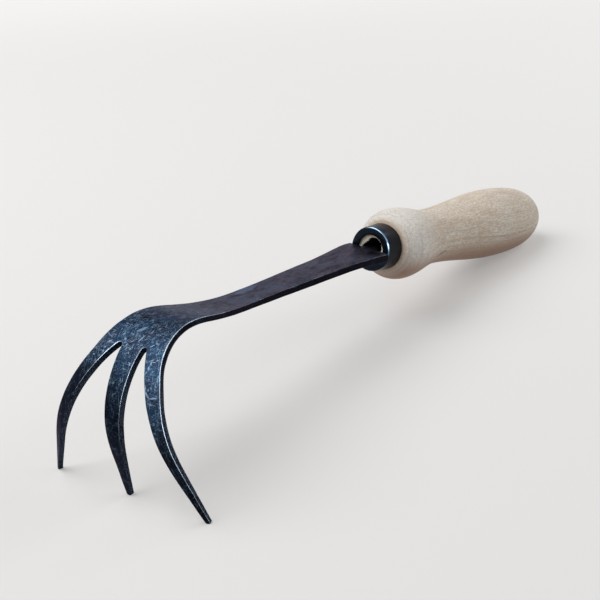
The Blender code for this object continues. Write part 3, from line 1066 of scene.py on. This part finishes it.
def add_scale_marks(tone, flat, patterns, marks, flank):
    """A painted blue highlight, the blots, painted shade on the lower palm, pits, scratches,
    painted side glints.
    """
    along, across, _ = parts_of(flat)
    waved = strayed_by(flat, patterns["warp"], (BLOT_WAVER, BLOT_WAVER, 0.0))
    # Painted highlight: a blue glint laid on the shank's far edge
    tone = lay(tone, PAINTED_SHANK_HIGHLIGHT, flat_stroke(waved, *SHANK_HIGHLIGHT_STROKE))
    for blot in SCALE_BLOTS:
        tone = lay(tone, SCALE_DARK, flat_stroke(waved, *blot))
    # Painted shade on the lower palm, away from its near edge
    tone = lay(tone, SCALE_DARK, step_up(along, *SHADED_SHARE), step_up(across, *SHADED_ACROSS))
    tone = lay(tone, LOWER_OXIDE_AND_SHADE, patterns["pits"], 0.65)
    tone = lay(tone, SCRATCH_TONE, marks, 0.78)
    # Painted glints: bluish specks on the side faces of the lower tines
    return lay(tone, SHANK_BLUE, patterns["frost"], flank, step_up(along, *PAINTED_GLINT_SHARE))


# %% Finish of the head


def forged_finish():
    """The head's material: colour, bare arrises, gloss and relief."""
    made, tree, shader = new_material("forged_scale")
    space = object_place(tree)
    flat_map = tree.nodes.new("ShaderNodeUVMap")
    flat_map.uv_map = "flat_map"
    flat = scaled(flat_map.outputs["UV"], (MAP_UNIT / MM, MAP_UNIT / MM, 0.0))
    along, across, _ = parts_of(flat)
    arris, flank = read_mask(tree, "arris"), read_mask(tree, "flank")

    patterns = forged_patterns(space)
    patch, mottle, pits = patterns["patch"], patterns["mottle"], patterns["pits"]
    leaning = plus(along, times(across, LOWER_LEAN))
    lower = plus(step_up(leaning, *LOWER_SHARE),
                 step_up(mottle, 0.0, 1.0, 0.14, -0.14), clamp=True)
    marks = forged_scratches(flat, along, lower, flank)
    tone = forged_tone(along, lower, flank, patterns)
    tone = add_scale_marks(tone, flat, patterns, marks, flank)

    buried = plus(along, times(across, WEAR_LEAN))
    wear = times(step_up(along, *WEAR_AMOUNT), step_up(buried, *WEAR_FADE))
    worn = use_group(worn_group, {"Vector": space, "Arris": arris, "Amount": wear})["Mask"]
    # Bare steel on the worn arrises, with a painted highlight where they face -Y
    across_share = plus(step_up(across, *POLISH_NEAR), step_up(across, *POLISH_FAR))
    tone = lay(tone, BARE_STEEL, worn, step_up(along, *POLISH_FADE), across_share,
               step_up(mottle, 0.0, 1.0, 0.7, 1.1))

    rough = plus(plus(0.34, times(patch, 0.12)), times(pits, 0.20))
    relief = plus(times(patch, 0.6), times(patterns["grain"], 0.22))
    for sunk, depth in ((pits, 0.55), (patterns["plates"], 0.2), (marks, 0.3)):
        relief = minus(relief, times(sunk, depth))
    set_by_name(shader, {"Base Color": tone, "Roughness": minus(rough, times(worn, 0.10)),
                         "Metallic": 1.0, "Specular Tint": GLANCING_TINT,
                         "Normal": embossed(relief, strength=0.9, depth=0.06 * MM)})
    return made


head.data.materials.append(forged_finish())
print("head finished in", head.data.materials[0].name)

# %% [markdown]
# ## Blued ferrule
#
# Bluing is thin, glossy and nearly black. The sheet shows faint rings from the press and a few
# hairlines. Towards the rear of its wall it is painted a little brown, a painted reflection of
# the wood behind it. One pale line along the lip on the near side is a painted highlight.

# %% Finish of the ferrule
BLUING_DARK, BLUING_PALE = (0.004, 0.007, 0.012), (0.012, 0.019, 0.030)
# Painted reflection of the wood behind the ferrule, laid on the rear of its wall
WOOD_REFLECTION_DARK, WOOD_REFLECTION_PALE = (0.006, 0.005, 0.005), (0.015, 0.013, 0.013)
BLUING_GLANCE = (0.72, 0.72, 0.74, 1.0)
BLUING_HAIR = {"Way": 1.3, "Length": 4.0, "Spacing": 0.8, "Width": 0.03, "Amount": 0.40}
LIP_HIGHLIGHT_TONE = (0.26, 0.40, 0.54)
LIP_RIDGE = FERRULE_RADIUS - FERRULE_TAPER - 0.3 * MM

# The painted highlight along the lip: across the ridge, back from the face, round to the side and
# down
LIP_ACROSS = (0.10 * MM, 0.26 * MM, 1.0, 0.0)
LIP_BACK = (1.0 * MM, 1.4 * MM, 1.0, 0.0)
LIP_SIDE = (3.5 * MM, -0.5 * MM)
LIP_BELOW = (-3.0 * MM, -1.0 * MM)
LIP_DULLED = (0.5 * MM, 5.0 * MM, 0.42, 1.0)
WALL_START = (1.0 * MM, 5.0 * MM)


def to_handle_axis(tree):
    """Object coordinates turned so that X runs along the handle from the ferrule's front."""
    made = tree.nodes.new("ShaderNodeMapping")
    made.vector_type = "TEXTURE"
    set_by_name(made, {"Location": FERRULE_FRONT, "Rotation": (0.0, REST_TILT, 0.0),
                       "Vector": object_place(tree)})
    return made.outputs["Vector"]


def from_axis(place):
    """Distance from the handle's axis."""
    return distance(scaled(place, (0.0, 1.0, 1.0)))


def blued_finish():
    """The ferrule's material: bluing, painted wood reflection on the wall, painted lip highlight,
    rings.
    """
    made, tree, shader = new_material("glossy_bluing")
    place = to_handle_axis(tree)
    inward, side, up = parts_of(place)
    rings = clouds(scaled(place, (1.0, 0.02, 0.02)), 2600.0, 3.0, 0.7)
    haze = clouds(place, 190.0, 4.0, 0.6)
    unrolled = joined(times(inward, 1.0 / MM), times(up, 1.0 / MM))
    hair = use_group(hairlines_group, {"Vector": unrolled, **BLUING_HAIR})["Mask"]
    wall = step_up(inward, *WALL_START)
    off_ridge = maths("ABSOLUTE", minus(from_axis(place), LIP_RIDGE))

    tone = mix_colour(haze, BLUING_DARK, BLUING_PALE)
    wood_reflection = mix_colour(haze, WOOD_REFLECTION_DARK, WOOD_REFLECTION_PALE)
    # Painted reflection: the rear of the wall tinted brown like the wood behind it
    tone = lay(tone, wood_reflection, wall, 0.8)
    tone = lay(tone, SCRATCH_TONE, hair, 0.18)
    # Painted highlight: one pale line along the lip's ridge on the near side
    tone = lay(tone, LIP_HIGHLIGHT_TONE, step_up(off_ridge, *LIP_ACROSS),
               step_up(inward, *LIP_BACK), step_up(side, *LIP_SIDE),
               step_up(up, *LIP_BELOW), step_up(up, *LIP_DULLED))
    rough = plus(plus(0.14, times(haze, 0.10)), times(wall, 0.12))
    relief = minus(times(rings, 0.5), hair)
    set_by_name(shader, {"Base Color": tone, "Roughness": rough, "Metallic": 0.9,
                         "Specular Tint": BLUING_GLANCE,
                         "Normal": embossed(relief, strength=0.35, depth=0.02 * MM)})
    return made


ferrule.data.materials.append(blued_finish())
print("ferrule finished in", ferrule.data.materials[0].name)

# %% [markdown]
# ## Ash wood
#
# Wood is a solid pattern, so it is built as one: rings about a pith that lies outside the
# handle, and fine tubes along it. Cut by a turned surface, the rings draw faint long lines on
# the sides and arches at the waist, and the tubes show as short dashes, with no seam anywhere.

# %% Grain of ash
WOOD_PALE = (0.82, 0.735, 0.625)
WOOD_WARM = (0.72, 0.595, 0.465)
WOOD_FLECK = (0.92, 0.87, 0.78)
WOOD_LATE = (0.49, 0.365, 0.255)
WOOD_FIBRE = (0.34, 0.27, 0.205)
WOOD_PORE = (0.22, 0.155, 0.105)
RING_WIDTH = 2.6 * MM
TO_PITH = (0.0, -30.0 * MM, 52.0 * MM)
GRAIN_SWAY = (0.0, 5.0 * MM, 5.0 * MM)

# Noises drawn out along the wood: stretch, scale, detail, roughness
GRAIN_NOISES = {
    "fibre": (0.025, 2600.0, 3.0, 0.7),
    "dashes": (0.22, 2300.0, 2.0, 0.6),
    "streak": (0.022, 800.0, 4.0, 0.65),
}

# Layers of the grain in turn: noise, where it starts and is full, share, colour
GRAIN_LAYERS = (
    ("streak", 0.44, 0.66, 0.26, WOOD_LATE),
    ("streak", 0.48, 0.34, 0.36, WOOD_FLECK),
    ("fibre", 0.46, 0.62, 0.42, WOOD_FIBRE),
    ("dashes", 0.50, 0.60, 0.45, WOOD_LATE),
    ("dashes", 0.46, 0.38, 0.40, WOOD_FLECK),
)


def drawn_out(place, stretch):
    """Coordinates in which a pattern comes out long in the handle's direction."""
    return scaled(place, (stretch, 1.0, 1.0))


def ring_masks(swayed, ring_width):
    """Late wood and early wood of the yearly rings, some years stronger than others."""
    to_pith = drawn_out(shifted(swayed, TO_PITH), 0.035)
    turns = maths("DIVIDE", distance(to_pith), ring_width)
    season = maths("FRACT", turns)
    luck = new_node("TexWhiteNoise", turns)
    luck.noise_dimensions = "1D"
    put(luck.inputs["W"], maths("FLOOR", turns))
    late = times(step_up(season, 0.40, 0.90),
                 step_up(season, 0.92, 1.0, 1.0, 0.0),
                 step_up(luck.outputs["Value"], 0.0, 1.0, 0.3, 1.0))
    return late, step_up(season, 0.30, 0.02)


def build_ash_grain():
    """Rings, fibres and pores of a pale ring-porous wood."""
    tree, given, out = new_group("ash_grain", {"Vector": VECTOR, "Ring": FLOAT},
                                 {"Color": COLOUR, "Roughness": FLOAT, "Height": FLOAT})
    place = given["Vector"]
    sway = clouds(drawn_out(place, 0.3), 22.0, 2.0, colour=True)
    swayed = strayed_by(place, sway, GRAIN_SWAY)
    late, early = ring_masks(swayed, given["Ring"])
    noises = {name: clouds(drawn_out(swayed, stretch), *values)
              for name, (stretch, *values) in GRAIN_NOISES.items()}
    pores = step_up(cells(drawn_out(swayed, 0.16), 1900.0), 0.06, 0.26, 1.0, 0.0)
    pores = times(pores, plus(0.30, times(early, 0.70)))
    blotch = step_up(clouds(drawn_out(place, 0.6), 60.0, 4.0), 0.34, 0.66)

    tone = mix_colour(blotch, WOOD_PALE, WOOD_WARM)
    tone = lay(tone, WOOD_LATE, late, 0.65)
    for name, low, high, share, colour in GRAIN_LAYERS:
        tone = lay(tone, colour, step_up(noises[name], low, high, 0.0, share))
    height = minus(times(noises["fibre"], 0.6), pores)
    set_by_name(out, {"Color": lay(tone, WOOD_PORE, pores, 0.60),
                      "Roughness": plus(0.42, times(noises["fibre"], 0.18)),
                      "Height": minus(height, times(noises["dashes"], 0.8))})
    return tree


# %% [markdown]
# ## The turned handle
#
# The grain alone would look like a plank. On the handle the shoulder is paler across the grain,
# partly sanded and partly a painted highlight; the seat beside the ferrule is warm; the underside
# is darker and warmer as painted shade; the wood just inside the ferrule is painted lighter
# against the ferrule's shade; and the tang's hole is painted dark as shade. Each of these is
# laid over the grain by its place on the handle.

# %% Finish of the handle
HOLE_SHADE = (0.004, 0.0035, 0.003)
SHOULDER_SANDED_AND_LIT = (0.86, 0.86, 0.84)
SEAT_WARM = (0.62, 0.43, 0.28)
LATHE_RING = (0.46, 0.38, 0.29)
BROWN_STREAK = (0.16, 0.085, 0.055)
MOUTH_PAINTED_LIGHT = (1.0, 0.94, 0.72)
UNDERSIDE_SHADE = (0.38, 0.215, 0.14)
STREAK = {"Start": (38.3 * MM, -11.9 * MM, -6.9 * MM), "End": (48.1 * MM, -12.1 * MM, -4.9 * MM),
          "Width": 0.7 * MM}

# Changes along the handle's axis, away from it and up: from, to, value before, value after
RINGS_END = (14.0 * MM, 42.0 * MM, 1.0, 0.0)
SHOULDER_PALE_START = (10.0 * MM, 12.5 * MM)
SHOULDER_PALE_STOP = (18.0 * MM, 44.0 * MM, 1.0, 0.0)
SEAT_START = (9.5 * MM, 10.2 * MM)
SEAT_OUT = (10.4 * MM, 12.8 * MM, 1.0, 0.0)
BELOW_START = (9.0 * MM, 14.0 * MM)
BELOW_DOWN = (-1.0 * MM, -12.0 * MM)
MOUTH_LIGHT_STOP = (2.0 * MM, 4.0 * MM, 1.0, 0.0)
HOLE_OUT = (5.8 * MM, 6.2 * MM, 1.0, 0.0)
HOLE_START = (1.6 * MM, 2.6 * MM)
HOLE_STOP = (84.0 * MM, 88.0 * MM, 1.0, 0.0)


def ash_finish():
    """The handle's material: grain, pale shoulder, warm seat, painted shade below and in the hole.
    """
    made, tree, shader = new_material("turned_ash")
    place = to_handle_axis(tree)
    grain = use_group(build_ash_grain(), {"Vector": place, "Ring": RING_WIDTH})
    inward, _, up = parts_of(place)
    off_axis = from_axis(place)

    lathe = clouds(scaled(place, (1.0, 0.02, 0.02)), 1700.0, 2.0, 0.6)
    ringed = times(step_up(lathe, 0.5, 0.7), step_up(inward, *RINGS_END))
    drift = step_up(clouds(place, 120.0), 0.3, 0.7, -3.0 * MM, 3.0 * MM)
    chalky = step_up(clouds(drawn_out(place, 0.3), 1500.0, 3.0, 0.7), 0.36, 0.62, 0.25, 0.70)
    streak = use_group(stroke_group, {"Vector": place, **STREAK})["Mask"]
    # Paler shoulder: partly sanded wood, partly a painted highlight
    tone = lay(grain["Color"], SHOULDER_SANDED_AND_LIT, chalky,
               step_up(plus(inward, drift), *SHOULDER_PALE_STOP),
               step_up(inward, *SHOULDER_PALE_START))
    tone = lay(tone, SEAT_WARM, step_up(off_axis, *SEAT_OUT), step_up(inward, *SEAT_START), 0.42)
    tone = lay(tone, LATHE_RING, ringed, 0.45)
    tone = lay(tone, BROWN_STREAK, streak, 0.62)
    # Painted shade: the underside darker and warmer
    tone = lay(tone, UNDERSIDE_SHADE, step_up(up, *BELOW_DOWN), step_up(inward, *BELOW_START), 0.90)
    # Painted light: the wood just inside the ferrule made brighter against its shade
    tone = lay(tone, MOUTH_PAINTED_LIGHT, step_up(inward, *MOUTH_LIGHT_STOP), 0.85)
    # Painted shade: the inside of the tang's hole darkened
    tone = lay(tone, HOLE_SHADE, step_up(off_axis, *HOLE_OUT),
               step_up(inward, *HOLE_START), step_up(inward, *HOLE_STOP))
    relief = minus(grain["Height"], times(ringed, 0.5))
    set_by_name(shader, {"Base Color": tone, "Roughness": grain["Roughness"],
                         "Specular IOR Level": 0.35,
                         "Normal": embossed(relief, strength=0.5, depth=0.05 * MM)})
    return made


handle.data.materials.append(ash_finish())
print("handle finished in", handle.data.materials[0].name)

# %% [markdown]
# ## Floor and light
#
# A plain pale floor and large soft lights show the shapes without drama. The largest hangs
# overhead and a long one stands on the right. A third stands low on the right for gloss alone,
# because dark steel needs something bright to mirror along its edges.

# %% Stage and light
FLOOR_TONE = (0.58, 0.565, 0.55, 1.0)
FLOOR_GLOW = (1.0, 0.99, 0.97, 1.0)
GLOW_CENTRE = (-0.2, -0.1, 0.0)
GLOW_SPREAD = (0.0, 2.2, 0.24, 0.74)
SKY_TONE = (0.98, 0.985, 1.0, 1.0)
SKY_LIGHT = 0.16
SKY_SEEN = 0.60
GLOSS_LAMP = "edge_light"

# Soft lamps: place, target, size, radiance, colour
LAMPS = {
    "overhead_box": ((-0.42, 0.42, 1.05), (-0.05, 0.0, 0.0), (1.2, 1.1), 3.2,
                     (0.97, 0.985, 1.0)),
    "right_strip": ((0.62, -0.58, 0.70), (0.0, 0.0, 0.03), (1.2, 0.3), 3.2, (0.94, 0.97, 1.0)),
    GLOSS_LAMP: ((-0.45, -0.92, 0.32), (0.0, 0.0, 0.03), (1.3, 0.45), 6.5, (0.94, 0.97, 1.0)),
}


def seen_ray(tree):
    """1 for rays that see the backdrop: from the camera, by gloss or through glass."""
    path = tree.nodes.new("ShaderNodeLightPath").outputs
    seen = maths("MAXIMUM", path["Is Camera Ray"], path["Is Glossy Ray"])
    return maths("MAXIMUM", seen, path["Is Transmission Ray"])


def build_floor():
    """A pale floor whose far part is lifted for the eye alone, so that it stays even."""
    bm = bmesh.new()
    bmesh.ops.create_grid(bm, x_segments=2, y_segments=2, size=4.0)
    mesh = bpy.data.meshes.new("floor")
    bm.to_mesh(mesh)
    bm.free()
    made, tree, shader = new_material("pale_floor")
    away = distance(object_place(tree), GLOW_CENTRE)
    set_by_name(shader, {
        "Base Color": FLOOR_TONE, "Roughness": 0.85, "Specular IOR Level": 0.2,
        "Emission Color": FLOOR_GLOW,
        "Emission Strength": times(step_up(away, *GLOW_SPREAD), seen_ray(tree))})
    mesh.materials.append(made)
    piece = bpy.data.objects.new("floor", mesh)
    bpy.context.scene.collection.objects.link(piece)
    piece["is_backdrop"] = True


def soft_light(name, place, target, size, radiance, colour):
    """An area light of a given radiance that faces its target."""
    lamp = bpy.data.lights.new(name, "AREA")
    lamp.shape = "RECTANGLE"
    lamp.size, lamp.size_y = size
    lamp.energy = radiance * math.pi * size[0] * size[1]
    lamp.color = colour
    holder = bpy.data.objects.new(name, lamp)
    holder.location = place
    aim = Vector(target) - Vector(place)
    holder.rotation_euler = aim.to_track_quat("-Z", "Y").to_euler()
    holder.visible_camera = False
    holder.visible_diffuse = name != GLOSS_LAMP
    bpy.context.scene.collection.objects.link(holder)


def build_world():
    """A dim sky for light that looks pale to the eye."""
    world = bpy.data.worlds.new("studio")
    bpy.context.scene.world = world
    world.use_nodes = True
    tree = world.node_tree
    strength = plus(SKY_LIGHT, times(seen_ray(tree), SKY_SEEN))
    set_by_name(tree.nodes["Background"], {"Color": SKY_TONE, "Strength": strength})


build_floor()
build_world()
for lamp_name, lamp_row in LAMPS.items():
    soft_light(lamp_name, *lamp_row)
bpy.context.scene.view_settings.view_transform = "Standard"
print("stage and", len(LAMPS), "lamps ready")

# %% [markdown]
# ## Camera
#
# The camera looks down on the tool from the tines' side. Its place is measured from the
# ferrule's front, because the whole tool hangs on that point.

# %% Camera
CAMERA_PLACE = Vector((-376.54, -255.16, 155.74)) * MM
CAMERA_TURN = (-51.8 * DEG, 21.3 * DEG, -4.75 * DEG)
CAMERA_LENS = 65.52


def build_camera():
    """A camera placed from the ferrule's front, turned by azimuth, elevation and roll."""
    azimuth, elevation, roll = CAMERA_TURN
    forward = Vector((-math.sin(azimuth) * math.cos(elevation),
                      math.cos(azimuth) * math.cos(elevation), -math.sin(elevation)))
    level = Vector((math.cos(azimuth), math.sin(azimuth), 0.0))
    upright = level.cross(forward)
    right = level * math.cos(roll) + upright * math.sin(roll)
    up = upright * math.cos(roll) - level * math.sin(roll)
    camera = bpy.data.objects.new("camera", bpy.data.cameras.new("camera"))
    camera.data.sensor_width = 36.0
    camera.data.lens = CAMERA_LENS
    camera.data.clip_start = 0.01
    turn = Matrix((right, up, -forward)).transposed()
    camera.matrix_world = Matrix.Translation(FERRULE_FRONT + CAMERA_PLACE) @ turn.to_4x4()
    bpy.context.scene.collection.objects.link(camera)
    bpy.context.scene.camera = camera
    return camera


camera = build_camera()
print("camera at", [round(v, 3) for v in camera.location])

# %% Sizes and finish
shown_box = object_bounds()
for name, corners in (("solids", cad_box), ("dressed", shown_box)):
    print(name, [[round(v / MM, 2) for v in corner] for corner in corners])
